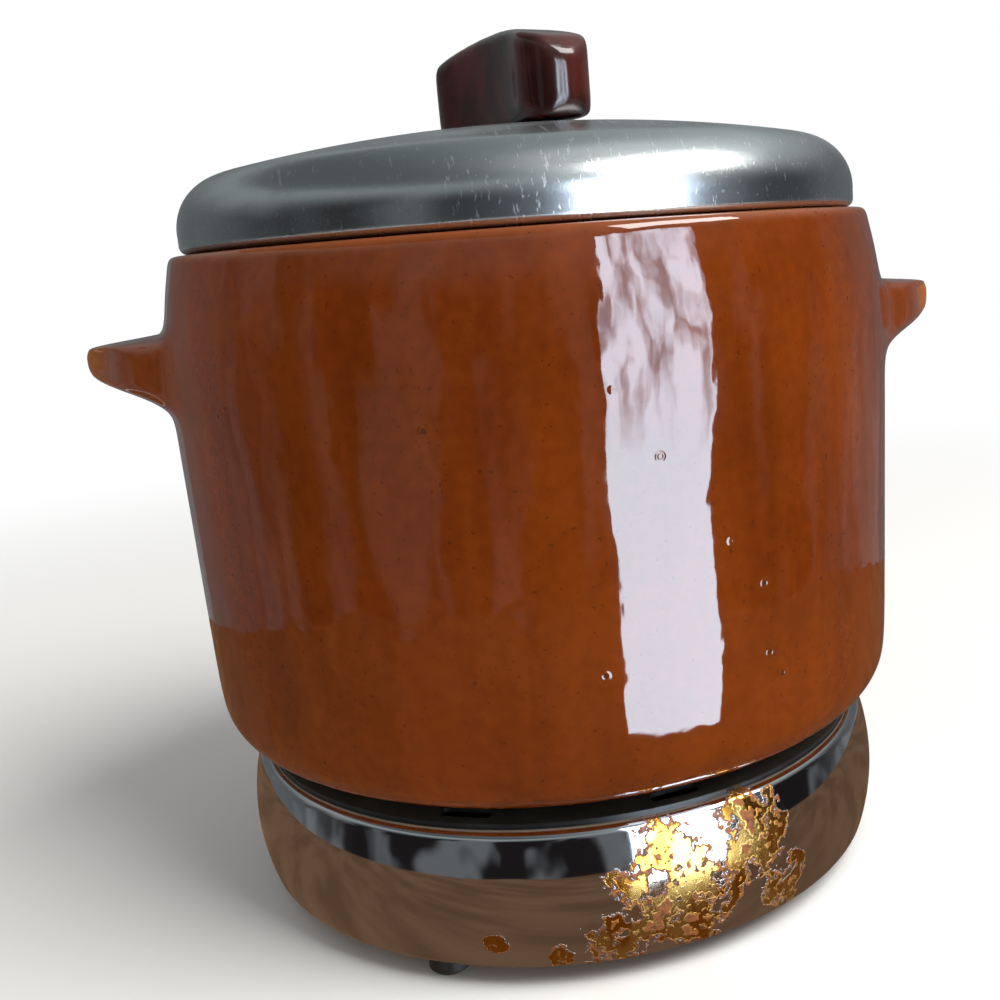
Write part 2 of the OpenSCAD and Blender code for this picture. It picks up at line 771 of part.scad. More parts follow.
module inlet_block() {
    corner = 1.5;
    color("ivory") difference() {
        translate([0, block_y, shell_z + block_h / 2]) rotate([90, 0, 0])
            linear_extrude(block_t) polygon(round_box(block_w, block_h, corner));
        for (x = pin_xs) translate([x, 0, 0]) {
            along_y(block_back_y - past, inlet_z) cylinder(r = pin_r + thread_fit, h = block_t + 2 * past);
            along_y(block_y - collar_t, inlet_z) cylinder(r = collar_r + thread_fit, h = collar_t + past);
        }
        for (x = [-inlet_screw_x, inlet_screw_x]) translate([x, 0, 0])
            along_y(block_y - inlet_screw_l, inlet_z) cylinder(r = inlet_screw_r + thread_fit, h = inlet_screw_l + past);
        block_screw_places() at_height(shell_z - past)
            cylinder(r = block_screw_r + thread_fit, h = block_screw_l + 2 * past);
    }
}

module inlet_pins() {
    color("silver") for (x = pin_xs) translate([x, 0, 0]) {
        along_y(pin_y, inlet_z) rotate_extrude() polygon([
            [0, 0], [pin_r, 0],
            [pin_r, block_y - collar_t - pin_y], [collar_r, block_y - collar_t - pin_y],
            [collar_r, block_y - pin_y], [pin_r, block_y - pin_y],
            [pin_r, block_y - pin_y + pin_l - tip_bevel], [pin_r - tip_bevel, block_y - pin_y + pin_l],
            [0, block_y - pin_y + pin_l]]);
    }
}

module inlet_nuts() {
    color("silver") for (x = pin_xs) translate([x, 0, 0])
        along_y(inlet_nut_y, inlet_z) hex_nut(inlet_nut_r, pin_r + thread_fit, inlet_nut_t);
}

module inlet_guard() {
    outer = round_box(guard_w + 2 * guard_t, guard_h + 2 * guard_t, guard_corner);
    inner = round_box(guard_w, guard_h, guard_corner - guard_t);
    color([0.15, 0.15, 0.15]) difference() {
        union() {
            along_y(block_y, inlet_z) linear_extrude(guard_l + guard_t) polygon(outer);
            along_y(block_y, inlet_z) linear_extrude(guard_t)
                polygon(round_box(block_w, guard_h + 2 * guard_t, guard_corner));
        }
        along_y(block_y - past, inlet_z) linear_extrude(guard_l + guard_t + 2 * past) polygon(inner);
        for (x = [-inlet_screw_x, inlet_screw_x]) translate([x, 0, 0])
            along_y(block_y - past, inlet_z) cylinder(r = inlet_screw_r + hole_fit, h = guard_t + 2 * past);
    }
}

module inlet_screws() {
    color("silver") for (x = [-inlet_screw_x, inlet_screw_x])
        translate([x, guard_y, inlet_z]) rotate([90, 0, 0])
            screw(inlet_screw_r, inlet_screw_l + guard_t - 1, inlet_head_r, inlet_head_t);
}

module block_screws() {
    color("silver") block_screw_places() at_height(cover_z)
        screw(block_screw_r, cover_t + block_screw_l, block_head_r, block_head_t);
}

// Feet

module feet() {
    color([0.08, 0.08, 0.08]) foot_places() rotate_extrude() polygon([
        [foot_recess_r, 0], [foot_r - foot_bevel, 0], [foot_r, foot_bevel], [foot_r, foot_h],
        [foot_screw_r + hole_fit, foot_h], [foot_screw_r + hole_fit, foot_recess_h],
        [foot_recess_r, foot_recess_h]]);
}

module foot_screws() {
    grip = foot_h - foot_recess_h + cover_t + shell_t;
    color("silver") foot_places() at_height(foot_recess_h)
        screw(foot_screw_r, grip + foot_nut_t + 0.6, foot_head_r, foot_head_t);
}

module foot_nuts() {
    color("silver") foot_places() at_height(shell_z + shell_t)
        hex_nut(foot_nut_r, foot_screw_r + thread_fit, foot_nut_t);
}

crock();
lid_shell();
lid_knob();
knob_insert();
knob_washer();
knob_screw();
base_shell();
deck_ring();
hot_plate();
upper_mica();
element_ribbon();
element_former();
lower_mica();
pressure_plate();
tie_stud();
clamp_washer();
clamp_nut();
upper_spacer();
heat_shield();
lower_spacer();
bottom_cover();
tie_washer();
tie_nut();
terminal_posts();
terminal_bushings();
terminal_nuts();
lead_wires();
inlet_block();
inlet_pins();
inlet_nuts();
inlet_guard();
inlet_screws();
block_screws();
feet();
foot_screws();
foot_nuts();
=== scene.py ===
import json
import math

import bpy
from mathutils import Matrix, Vector


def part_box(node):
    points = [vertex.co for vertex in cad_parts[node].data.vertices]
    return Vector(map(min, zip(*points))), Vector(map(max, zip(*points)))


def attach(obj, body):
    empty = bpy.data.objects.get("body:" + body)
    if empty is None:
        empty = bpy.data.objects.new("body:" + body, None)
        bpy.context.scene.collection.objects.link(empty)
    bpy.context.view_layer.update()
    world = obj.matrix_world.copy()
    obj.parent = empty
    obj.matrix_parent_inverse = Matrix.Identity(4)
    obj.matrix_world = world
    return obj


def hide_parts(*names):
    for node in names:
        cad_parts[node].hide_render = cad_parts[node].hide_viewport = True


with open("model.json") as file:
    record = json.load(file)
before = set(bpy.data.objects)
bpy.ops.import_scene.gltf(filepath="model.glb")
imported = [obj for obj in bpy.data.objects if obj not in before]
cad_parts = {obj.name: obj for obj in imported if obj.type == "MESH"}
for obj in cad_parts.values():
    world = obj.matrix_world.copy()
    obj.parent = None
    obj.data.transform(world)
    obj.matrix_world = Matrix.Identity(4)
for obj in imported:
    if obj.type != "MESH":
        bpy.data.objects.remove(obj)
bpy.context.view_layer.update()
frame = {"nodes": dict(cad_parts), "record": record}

scene = bpy.context.scene
nodes = frame["nodes"]
MM = 0.001

# The camera stands low in front of the pot, a little to its left, and is tilted by a few degrees.
# Its place and lens were worked out from the outlines of pot, lid and base in the picture.
view_turn = math.radians(-6.5)
camera_place = Vector((1.4, -311.9, 157.5)) * MM
camera_data = bpy.data.cameras.new("camera")
camera_data.sensor_width = 36
camera_data.lens = 42.48
camera_data.shift_x = -0.10
camera_data.shift_y = 0.01
camera_data.clip_start = 0.01
camera = bpy.data.objects.new("camera", camera_data)
scene.collection.objects.link(camera)
heading = Matrix.Rotation(view_turn - math.radians(2.48), 4, "Z")
tilt = Matrix.Rotation(math.radians(90 - 12.53), 4, "X")
roll = Matrix.Rotation(math.radians(-4.25), 4, "Z")
spot = Matrix.Rotation(view_turn, 4, "Z") @ camera_place
camera.matrix_world = Matrix.Translation(spot) @ heading @ tilt @ roll
scene.camera = camera
scene.view_settings.view_transform = "Standard"


class Value:
    """A socket of a material that Python's own signs work on."""

    def __init__(self, tree, socket):
        self.tree = tree
        self.socket = socket

    def math(self, operation, *others):
        inputs = {i: v for i, v in enumerate((self,) + others)}
        return make(self.tree, "ShaderNodeMath", {"operation": operation}, inputs)

    def __add__(self, other):
        return self.math("ADD", other)

    def __mul__(self, other):
        return self.math("MULTIPLY", other)

    def __sub__(self, other):
        return self.math("SUBTRACT", other)

    def __rsub__(self, other):
        return (self * -1.0) + other

    def __pow__(self, other):
        return self.math("POWER", other)

    __radd__ = __add__
    __rmul__ = __mul__

    def most(self, other):
        return self.math("MAXIMUM", other)

    def ramp(self, low, high):
        """0 below low, 1 above high, smooth between them; the other way round where low is the larger."""
        first, last = min(low, high), max(low, high)
        ends = (0.0, 1.0) if low < high else (1.0, 0.0)
        inputs = {0: self, 1: first, 2: last, 3: ends[0], 4: ends[1]}
        return make(self.tree, "ShaderNodeMapRange", {"interpolation_type": "SMOOTHSTEP"}, inputs)


def make(tree, kind, settings, inputs, out=0):
    """Adds one node: settings first, then the values or links of its sockets."""
    node = tree.nodes.new(kind)
    for key, value in settings.items():
        setattr(node, key, value)
    for key, value in inputs.items():
        socket = node.inputs[key]
        if isinstance(value, Value):
            tree.links.new(value.socket, socket)
        else:
            socket.default_value = value
    return Value(tree, node.outputs[out])


def blend_colour(factor, first, second):
    inputs = {0: factor, 6: first, 7: second}
    return make(factor.tree, "ShaderNodeMix", {"data_type": "RGBA"}, inputs, out=2)


def place_on(tree, scale=(1, 1, 1)):
    """The point on the piece, in millimetres, stretched by scale."""
    point = make(tree, "ShaderNodeTexCoord", {}, {}, out=3)
    stretch = tuple(s / MM for s in scale)
    return make(tree, "ShaderNodeMapping", {}, {"Vector": point, "Scale": stretch})


def noise(place, size, detail=2.0):
    """Cloudy noise from 0 to 1, whose clouds are about size millimetres across."""
    return make(place.tree, "ShaderNodeTexNoise", {}, {"Vector": place, "Scale": 1 / size, "Detail": detail})


def rgb(*parts):
    return (*parts, 1.0)


# The floor is a plain pale sheet that runs out to white. The light is soft: a pale surround, a large
# lamp overhead, and at the right a tall window whose reflection stands in the glaze.
# Dark curtains, seen only in reflections, stand round the front as they do in a studio. They, the ceiling and a table
# card under the floor are no lamps but glow with painted light.
def stage_material(name, colour, glow=None):
    material = bpy.data.materials.new(name)
    material.use_nodes = True
    tree = material.node_tree
    shader = tree.nodes["Principled BSDF"]
    shader.inputs["Base Color"].default_value = colour
    shader.inputs["Roughness"].default_value = 0.9
    shader.inputs["Specular IOR Level"].default_value = 0.0
    if glow is not None:
        shader.inputs["Emission Color"].default_value = glow
        shader.inputs["Emission Strength"].default_value = 1.0
    return material


floor_size = 12.0
bpy.ops.object.select_all(action="DESELECT")
bpy.ops.mesh.primitive_plane_add(size=floor_size)
floor = bpy.context.object
floor.name = "floor"
floor_material = stage_material("floor", rgb(0.80, 0.80, 0.79))
tree = floor_material.node_tree
place = make(tree, "ShaderNodeTexCoord", {}, {}, out=3)
distance = make(tree, "ShaderNodeVectorMath", {"operation": "LENGTH"}, {0: place}, out=1)
glow = make(tree, "ShaderNodeEmission", {}, {"Color": rgb(1, 1, 1), "Strength": 1.0})
cloth = Value(tree, tree.nodes["Principled BSDF"].outputs[0])
cover = make(tree, "ShaderNodeMixShader", {}, {0: distance.ramp(0.22, 0.75), 1: cloth, 2: glow})
tree.links.new(cover.socket, tree.nodes["Material Output"].inputs[0])
floor.data.materials.append(floor_material)
floor.visible_glossy = False

world = bpy.data.worlds.new("surround")
scene.world = world
world.use_nodes = True
tree = world.node_tree
path = tree.nodes.new("ShaderNodeLightPath")
seen = Value(tree, path.outputs["Is Camera Ray"])
seen = seen.most(Value(tree, path.outputs["Is Glossy Ray"])).most(Value(tree, path.outputs["Is Transmission Ray"]))
ambient = 0.44
tree.links.new((seen * (1.0 - ambient) + ambient).socket, tree.nodes["Background"].inputs["Strength"])
tree.nodes["Background"].inputs["Color"].default_value = rgb(1, 1, 1)


def lamp(name, place, towards, width, height, power, colour):
    data = bpy.data.lights.new(name, "AREA")
    data.shape = "RECTANGLE"
    data.size = width
    data.size_y = height
    data.energy = power
    data.color = colour
    light = bpy.data.objects.new(name, data)
    scene.collection.objects.link(light)
    light.location = place
    light.rotation_euler = (Vector(towards) - Vector(place)).to_track_quat("-Z", "Y").to_euler()
    light.visible_camera = False
    return light


lamp("top_light", (0.75, -0.60, 1.30), (0, 0, 0.1), 1.0, 1.0, 31, (1.0, 0.98, 0.95))
window_w = 0.148
window_h = 0.33
window_place = Vector((0.124, -0.277, 0.105))
bpy.ops.object.select_all(action="DESELECT")
bpy.ops.mesh.primitive_plane_add(size=1)
window = bpy.context.object
window.name = "window"
bpy.ops.object.mode_set(mode="EDIT")
bpy.ops.transform.resize(value=(window_w, window_h, 1), center_override=(0, 0, 0))
bpy.ops.object.mode_set(mode="OBJECT")
window.matrix_world = Matrix.Translation(window_place) @ (
    Vector((0, 0, window_place.z)) - window_place).to_track_quat("-Z", "Y").to_matrix().to_4x4()
window_glow = stage_material("window", rgb(0, 0, 0), rgb(0, 0, 0))
tree = window_glow.node_tree
place = place_on(tree)
panes = noise(place_on(tree, (1.0, 0.35, 1.0)), 26, 3.0).ramp(0.36, 0.60)
axes = make(tree, "ShaderNodeSeparateXYZ", {}, {0: place})
low_part = Value(tree, axes.socket.node.outputs[1]).ramp(10, -40)
pane_glow = blend_colour(panes, rgb(1.78, 2.02, 2.4), rgb(7.70, 8.74, 10.4))
glow_colour = blend_colour(low_part, pane_glow, rgb(7.07, 8.84, 10.4))
tree.links.new(glow_colour.socket, tree.nodes["Principled BSDF"].inputs["Emission Color"])
window.data.materials.append(window_glow)

curtain_r = 1.6
curtain_steps = 64
curtain_top = 1.3
curtain_foot = -0.5
bpy.ops.object.select_all(action="DESELECT")
bpy.ops.mesh.primitive_cylinder_add(
    vertices=curtain_steps, radius=curtain_r, depth=curtain_top - curtain_foot, end_fill_type="NOTHING",
    location=(0, 0, (curtain_top + curtain_foot) / 2))
curtain = bpy.context.object
curtain.name = "curtain"
bpy.ops.object.transform_apply(location=True, rotation=True, scale=True)
curtain_painted_glow = stage_material("curtain", rgb(0, 0, 0), rgb(0, 0, 0))
tree = curtain_painted_glow.node_tree
place = place_on(tree, (1, 1, 0.35))
# The curtain's glow is painted light: its folds are painted lit and shaded, and it is painted brighter towards the
# back and towards the top.
folds = noise(place, 420, 2.0).ramp(0.50, 0.64)
axes = make(tree, "ShaderNodeSeparateXYZ", {}, {0: place})
painted_brighter_back = Value(tree, axes.socket.node.outputs[1]).ramp(-300, 900)
# Heights here are stretched by 0.35, as the folds are
painted_brighter_top = Value(tree, axes.socket.node.outputs[2]).ramp(175, 420)
curtain_painted_light = blend_colour(folds, rgb(0.014, 0.012, 0.013), rgb(0.15, 0.16, 0.17))
curtain_painted_light = blend_colour(painted_brighter_top, curtain_painted_light, rgb(0.34, 0.38, 0.38))
tree.links.new(blend_colour(painted_brighter_back * 0.4, curtain_painted_light, rgb(0.30, 0.33, 0.34)).socket,
               tree.nodes["Principled BSDF"].inputs["Emission Color"])
curtain.data.materials.append(curtain_painted_glow)

bpy.ops.object.select_all(action="DESELECT")
bpy.ops.mesh.primitive_circle_add(vertices=curtain_steps, radius=curtain_r, fill_type="NGON",
                                  location=(0, 0, curtain_top))
ceiling = bpy.context.object
ceiling.name = "ceiling"
bpy.ops.object.transform_apply(location=True, rotation=True, scale=True)
pale = stage_material("ceiling", rgb(0, 0, 0), rgb(0, 0, 0))
tree = pale.node_tree
axes = make(tree, "ShaderNodeSeparateXYZ", {}, {0: place_on(tree)})
# The ceiling is no lamp but glows with painted light, brighter towards the right.
right = Value(tree, axes.socket.node.outputs[0]).ramp(-700, 1100)
tree.links.new(blend_colour(right, rgb(0.105, 0.12, 0.125), rgb(0.46, 0.52, 0.52)).socket,
               tree.nodes["Principled BSDF"].inputs["Emission Color"])
ceiling.data.materials.append(pale)

bpy.ops.object.select_all(action="DESELECT")
table_r = 0.5
table_z = -0.06
bpy.ops.mesh.primitive_circle_add(vertices=curtain_steps, radius=table_r, fill_type="NGON", location=(0, 0, table_z))
table = bpy.context.object
table.name = "table"
bpy.ops.object.transform_apply(location=True, rotation=True, scale=True)
table_painted_glow = stage_material("table", rgb(0, 0, 0), rgb(0, 0, 0))
tree = table_painted_glow.node_tree
# The table is no lamp but glows with painted light, the brown of lit wooden planks, and is seen only in reflections.
planks = noise(place_on(tree, (0.25, 1, 1)), 34, 3.0).ramp(0.35, 0.65)
tree.links.new(blend_colour(planks, rgb(0.125, 0.070, 0.041), rgb(0.175, 0.102, 0.060)).socket,
               tree.nodes["Principled BSDF"].inputs["Emission Color"])
table.data.materials.append(table_painted_glow)
for card in (curtain, ceiling, table, window):
    card.visible_camera = False
    card.visible_diffuse = False
    card.visible_shadow = False


def finish(name, colour, metallic=0.0, roughness=0.5, coat=0.0):
    """A new material, its tree and its shader, with the constants on the shader's own sockets."""
    material = bpy.data.materials.new(name)
    material.use_nodes = True
    tree = material.node_tree
    shader = tree.nodes["Principled BSDF"]
    shader.inputs["Base Color"].default_value = colour
    shader.inputs["Metallic"].default_value = metallic
    shader.inputs["Roughness"].default_value = roughness
    shader.inputs["Coat Weight"].default_value = coat
    return material, tree, shader


def feed(tree, shader, **values):
    for name, value in values.items():
        tree.links.new(value.socket, shader.inputs[name.replace("_", " ")])


def bump(height, depth):
    """A normal for a height from 0 to 1 that stands depth millimetres tall."""
    inputs = {"Strength": 1.0, "Distance": depth * MM, "Height": height}
    return make(height.tree, "ShaderNodeBump", {}, inputs)


def turned(name, outline, steps):
    """Draws an outline of (radius, height) points as an edge and spins it once round Z."""
    bpy.ops.object.select_all(action="DESELECT")
    bpy.ops.mesh.primitive_plane_add(size=MM)
    piece = bpy.context.object
    piece.name = name
    bpy.ops.object.mode_set(mode="EDIT")
    bpy.ops.mesh.select_mode(type="VERT")
    bpy.ops.mesh.select_all(action="SELECT")
    bpy.ops.mesh.merge(type="CENTER")
    bpy.ops.transform.translate(value=(outline[0][0], 0, outline[0][1]))
    for before, after in zip(outline, outline[1:]):
        step = (after[0] - before[0], 0, after[1] - before[1])
        bpy.ops.mesh.extrude_region_move(TRANSFORM_OT_translate={"value": step})
    bpy.ops.mesh.select_all(action="SELECT")
    bpy.ops.mesh.spin(steps=steps, angle=2 * math.pi, center=(0, 0, 0), axis=(0, 0, 1))
    bpy.ops.mesh.select_all(action="SELECT")
    bpy.ops.mesh.remove_doubles(threshold=1e-6)
    bpy.ops.mesh.normals_make_consistent(inside=False)
    bpy.ops.object.mode_set(mode="OBJECT")
    return piece


def arc(middle, r, start, end, count):
    """Points (radius, height) along an arc, its angles in degrees."""
    angles = [math.radians(start + (end - start) * i / count) for i in range(count + 1)]
    return [(middle[0] + r * math.cos(a), middle[1] + r * math.sin(a)) for a in angles]


# The pot is slip-cast stoneware, one piece with its two lugs, fired with a thick brown glaze.
# It is shaped as a coarse turned form, the lugs are drawn out of its wall, and subdivision rounds
# both into each other, as the clay is.
pot_low, pot_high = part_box("crock")
pot_r = pot_high.y
pot_z = pot_low.z
pot_top = pot_high.z
lid_low, lid_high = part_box("lid_shell")
neck_h = 5.6 * MM
ledge_z = pot_top - neck_h
ledge_r = pot_r - 3.8 * MM
neck_r = 78.8 * MM
mouth_r = 73.8 * MM
inside_r = pot_r - 6.6 * MM
pot_floor = pot_z + 8 * MM
pot_steps = 32
# Subdivision draws a ring of this many sides in by this share
pot_swell = 3 / (2 + math.cos(2 * math.pi / pot_steps))
pot_outline = [(0, pot_z + 1.2 * MM), (50 * MM, pot_z + 1.2 * MM)]
pot_outline += [(52 * MM, pot_z + 0.9 * MM), (53.5 * MM, pot_z), (71 * MM, pot_z)]
pot_outline += arc((75.4 * MM, pot_z + 13.2 * MM), 13.2 * MM, -80, -4, 4)
pot_outline += [(89.0 * MM, pot_z + 28 * MM), (89.7 * MM, pot_z + 64 * MM)]
lug_rows = [77 * MM, 84.5 * MM, 91 * MM, 97 * MM, 103.5 * MM]
pot_outline += [(pot_r, pot_z + row) for row in lug_rows[:4]]
pot_outline += [(89.4 * MM, pot_z + lug_rows[4]), (88.3 * MM, pot_z + 111.5 * MM)]
pot_outline += [(87.0 * MM, pot_z + 117 * MM), (ledge_r + 0.2 * MM, ledge_z - 0.9 * MM)]
pot_outline += [(ledge_r - 0.9 * MM, ledge_z), (ledge_r - 2.4 * MM, ledge_z), (neck_r + 0.4 * MM, ledge_z)]
pot_outline += [(neck_r, ledge_z + 0.6 * MM), (neck_r, pot_top - 2.2 * MM), (neck_r - 0.8 * MM, pot_top - 0.5 * MM)]
pot_outline += [(neck_r - 2.8 * MM, pot_top), (mouth_r + 1.0 * MM, pot_top - 0.5 * MM), (mouth_r, pot_top - 2.4 * MM)]
pot_outline += [(mouth_r + 3.6 * MM, ledge_z - 9 * MM)]
pot_outline += [(inside_r, ledge_z - 21 * MM), (inside_r, pot_z + 26 * MM)]
pot_outline += arc((inside_r - 12 * MM, pot_floor + 12 * MM), 12 * MM, -8, -82, 3)
pot_outline += [(55 * MM, pot_floor), (0, pot_floor)]
pot = turned("pot_body", [(r * pot_swell, z) for r, z in pot_outline], pot_steps)

# Each step out of a lug: how far out it goes, and how wide and how tall it stays
lug_steps = [(3.4, 0.86, 0.84), (3.6, 0.90, 0.85), (4.4, 0.87, 0.84)]
lug_steps += [(4.4, 0.77, 0.82), (3.2, 0.66, 0.76), (0.8, 0.7, 0.6)]
lug_half_angle = math.radians(23)
lug_z = pot_z + 99.5 * MM
bpy.ops.object.mode_set(mode="EDIT")
bpy.ops.mesh.select_mode(type="FACE")
for side in (1, -1):
    bpy.ops.mesh.select_all(action="DESELECT")
    bpy.ops.object.mode_set(mode="OBJECT")
    for face in pot.data.polygons:
        middle = face.center
        turn = abs(math.atan2(middle.y, middle.x * side))
        height = middle.z - pot_z
        outside = math.hypot(middle.x, middle.y) > inside_r + 4 * MM
        face.select = turn < lug_half_angle and lug_rows[1] < height < lug_rows[4] and outside
    bpy.ops.object.mode_set(mode="EDIT")
    lug_x = pot_r * side
    for out, wide, tall in lug_steps:
        lug_x += out * MM * side
        bpy.ops.mesh.extrude_region_move(TRANSFORM_OT_translate={"value": (out * MM * side, 0, 0)})
        bpy.ops.transform.resize(value=(1, wide, tall), center_override=(lug_x, 0, lug_z))
bpy.ops.object.mode_set(mode="OBJECT")
rounding = pot.modifiers.new("rounding", "SUBSURF")
rounding.levels = 3
rounding.render_levels = 3
bpy.context.view_layer.objects.active = pot
bpy.ops.object.modifier_apply(modifier="rounding")
bpy.ops.object.shade_smooth()

glaze, tree, shader = finish("brown_glaze", rgb(0.2, 0.05, 0.01), roughness=0.05)
shader.inputs["Specular IOR Level"].default_value = 0.85
place = place_on(tree)
cloud = noise(place, 55, 3.0)
mottle = noise(place, 2.6, 4.0)
runs = noise(place_on(tree, (1, 1, 0.12)), 9, 3.0)
axes = make(tree, "ShaderNodeSeparateXYZ", {}, {0: place})
height = Value(tree, axes.socket.node.outputs[2])
along_lugs = Value(tree, axes.socket.node.outputs[0]).math("ABSOLUTE")
depth = (cloud * 0.55 + runs * 0.3 + mottle * 0.25).ramp(0.30, 0.80)
colour = blend_colour(depth, rgb(0.105, 0.018, 0.002), rgb(0.215, 0.042, 0.004))
# The glaze runs thin on the lugs' edges, at the ledge and on the neck, and shows orange there
thin = along_lugs.ramp(97, 110) * 0.75
colour = blend_colour(thin, colour, rgb(0.36, 0.115, 0.025))
rim = height.ramp((ledge_z - 2.6 * MM) / MM, (ledge_z + 1 * MM) / MM) * 0.6
colour = blend_colour(rim, colour, rgb(0.30, 0.085, 0.02))
specks = noise(place, 1.1, 2.0).ramp(0.66, 0.73)
colour = blend_colour(specks * 0.55, colour, rgb(0.045, 0.010, 0.004))
bubble = make(tree, "ShaderNodeTexVoronoi", {}, {"Vector": place, "Scale": 1 / 16})
pit = bubble.ramp(0.050, 0.025)
colour = blend_colour(pit * 0.7, colour, rgb(0.05, 0.015, 0.006))
# The foot ring was wiped clean before firing, so the pale clay is bare there
bare = height.ramp((pot_z + 0.9 * MM) / MM, (pot_z + 0.5 * MM) / MM)
colour = blend_colour(bare, colour, blend_colour(mottle, rgb(0.42, 0.31, 0.19), rgb(0.58, 0.46, 0.32)))
feed(tree, shader, Base_Color=colour, Roughness=bare * 0.6 + mottle * 0.03 + 0.025)
waves = noise(place_on(tree, (1, 1, 0.45)), 17, 1.0) * 0.8 + noise(place, 6, 1.0) * 0.09 + runs * 0.1
surface = waves + mottle * 0.006 + pit * -0.10 + bubble.ramp(0.085, 0.05) * 0.10
feed(tree, shader, Normal=bump(surface, 0.85))
pot.data.materials.append(glaze)
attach(pot, "pot")
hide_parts("crock")


def bent_sheet(path, t):
    """Closed outline of a bent sheet: along one face and back along the other, t to its left."""
    sides = []
    for a, b in zip(path, path[1:]):
        run = math.hypot(b[0] - a[0], b[1] - a[1])
        sides.append(((a[1] - b[1]) / run, (b[0] - a[0]) / run))
    back = []
    for i, point in enumerate(path):
        one, two = sides[max(i - 1, 0)], sides[min(i, len(sides) - 1)]
        share = t / (1 + one[0] * two[0] + one[1] * two[1])
        back.append((point[0] + (one[0] + two[0]) * share, point[1] + (one[1] + two[1]) * share))
    return path + back[::-1] + path[:1]


# The lid is spun from aluminium sheet, with its edge rolled under into a bead that rests on the ledge.
# It was polished once and is now satin, with fine scratches, a few dents and grey wear.
lid_t = 0.9 * MM
bead_r = 2.0 * MM
lid_r = lid_high.x
bead_z = lid_low.z + bead_r
lid_turn_r = 12.9 * MM
lid_turn_z = bead_z + 2.7 * MM
dome_curve = 350 * MM
knob_seat_r = 14 * MM
knob_hole_r = 2.2 * MM
dome_join = math.degrees(math.asin((lid_r - lid_turn_r) / (dome_curve - lid_turn_r)))
dome_z = lid_turn_z - (dome_curve - lid_turn_r) * math.cos(math.radians(dome_join))
seat_turn = math.degrees(math.asin(knob_seat_r / dome_curve))
lid_path = arc((lid_r - bead_r, bead_z), bead_r, 110, 368, 30)
lid_path += arc((lid_r - lid_turn_r, lid_turn_z), lid_turn_r, -3, 90 - dome_join, 22)
lid_path += arc((0, dome_z), dome_curve, 90.6 - dome_join, 90 - seat_turn, 20)
lid_path += [(knob_hole_r, lid_path[-1][1])]
lid = turned("lid_dome", bent_sheet(lid_path, lid_t), 160)
bpy.ops.object.shade_smooth_by_angle(angle=math.radians(35))

satin, tree, shader = finish("worn_aluminium", rgb(0.62, 0.64, 0.65), metallic=1.0, roughness=0.22)
place = place_on(tree)
cloud = noise(place, 30, 4.0)
rings = make(tree, "ShaderNodeVectorMath", {"operation": "LENGTH"},
             {0: make(tree, "ShaderNodeMapping", {}, {"Vector": place, "Scale": (1, 1, 0)})}, out=1)
spin_mark = make(tree, "ShaderNodeTexNoise", {"noise_dimensions": "1D"}, {"W": rings, "Scale": 3.2, "Detail": 2.0})
rubs = noise(place_on(tree, (0.05, 1.0, 0.3)), 0.8, 3.0).ramp(0.58, 0.72)
scratch = noise(place_on(tree, (1.0, 0.03, 0.3)), 0.7, 3.0).ramp(0.62, 0.70)
wear = cloud.ramp(0.52, 0.72)
colour = blend_colour(wear * 0.6, rgb(0.60, 0.63, 0.64), rgb(0.40, 0.41, 0.42))
colour = blend_colour((scratch + rubs * 0.6) * 0.35, colour, rgb(0.78, 0.80, 0.82))
feed(tree, shader, Base_Color=colour, Roughness=cloud * 0.12 + wear * 0.12 + scratch * 0.08 + 0.19)
dents = noise(place, 24, 1.0) * 0.9 + spin_mark * 0.016 + scratch * -0.02 + rubs * -0.012
feed(tree, shader, Normal=bump(dents, 0.42))
lid.data.materials.append(satin)
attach(lid, "lid")
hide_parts("lid_shell")


def softened(name, node, voxel, passes):
    """A copy of a CAD node's mesh, merged, filled with small cells and smoothed, as a moulding is."""
    bpy.ops.object.select_all(action="DESELECT")
    source = nodes[node]
    piece = bpy.data.objects.new(name, source.data.copy())
    piece.data.materials.clear()
    scene.collection.objects.link(piece)
    piece.select_set(True)
    bpy.context.view_layer.objects.active = piece
    bpy.ops.object.mode_set(mode="EDIT")
    bpy.ops.mesh.select_all(action="SELECT")
    bpy.ops.mesh.remove_doubles(threshold=1e-6)
    bpy.ops.object.mode_set(mode="OBJECT")
    cells = piece.modifiers.new("cells", "REMESH")
    cells.mode = "VOXEL"
    cells.voxel_size = voxel
    bpy.ops.object.modifier_apply(modifier="cells")
    smooth = piece.modifiers.new("smooth", "SMOOTH")
    smooth.factor = 0.9
    smooth.iterations = passes
    bpy.ops.object.modifier_apply(modifier="smooth")
    # Smoothing draws the piece in a little, so it is brought back to the node's size
    low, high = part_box(node)
    found = [[vertex.co[axis] for vertex in piece.data.vertices] for axis in range(3)]
    stretch = [(high[axis] - low[axis]) / (max(found[axis]) - min(found[axis])) for axis in range(3)]
    shift = [low[axis] - min(found[axis]) * stretch[axis] for axis in range(3)]
    bpy.ops.object.mode_set(mode="EDIT")
    bpy.ops.mesh.select_all(action="SELECT")
    bpy.ops.transform.resize(value=stretch, center_override=(0, 0, 0))
    bpy.ops.transform.translate(value=shift)
    bpy.ops.object.mode_set(mode="OBJECT")
    bpy.ops.object.shade_smooth()
    return piece


